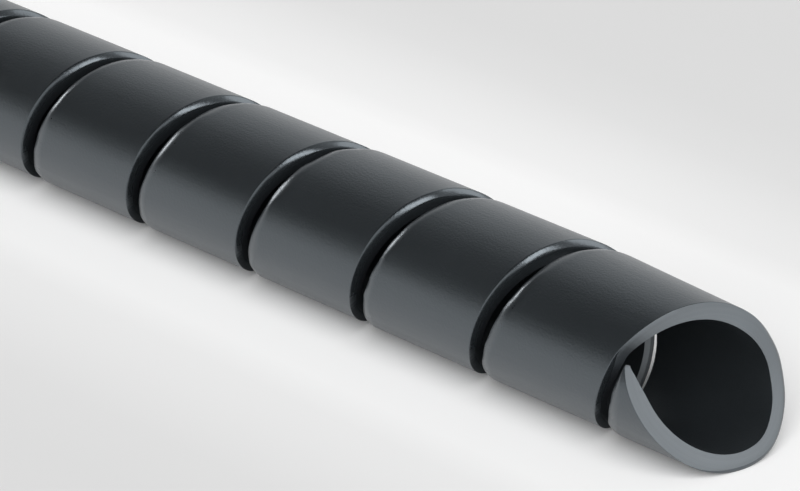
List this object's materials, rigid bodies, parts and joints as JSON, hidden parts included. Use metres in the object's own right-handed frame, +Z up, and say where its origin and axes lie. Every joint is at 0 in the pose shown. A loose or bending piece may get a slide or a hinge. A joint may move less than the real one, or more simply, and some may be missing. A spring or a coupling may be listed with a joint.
{
  "type": "spiral cable wrap",
  "caption": "Length of black polyethylene tube slit along a helix, which winds round cables or hoses to bundle and protect them.",
  "frame": {"origin": "middle of the length, on the surface that the wrap lies on", "axes": "+X along the tube towards its obliquely cut free end, +Z up"},
  "size_m": [0.5, 0.02, 0.02],
  "materials": {
    "black_polyethylene": "satin black polyethylene, smooth and slightly waxy, with duller cut faces along the slit and at the ends"
  },
  "bodies": {
    "root": {"spiral_wrap": "black_polyethylene"}
  },
  "joints": []
}
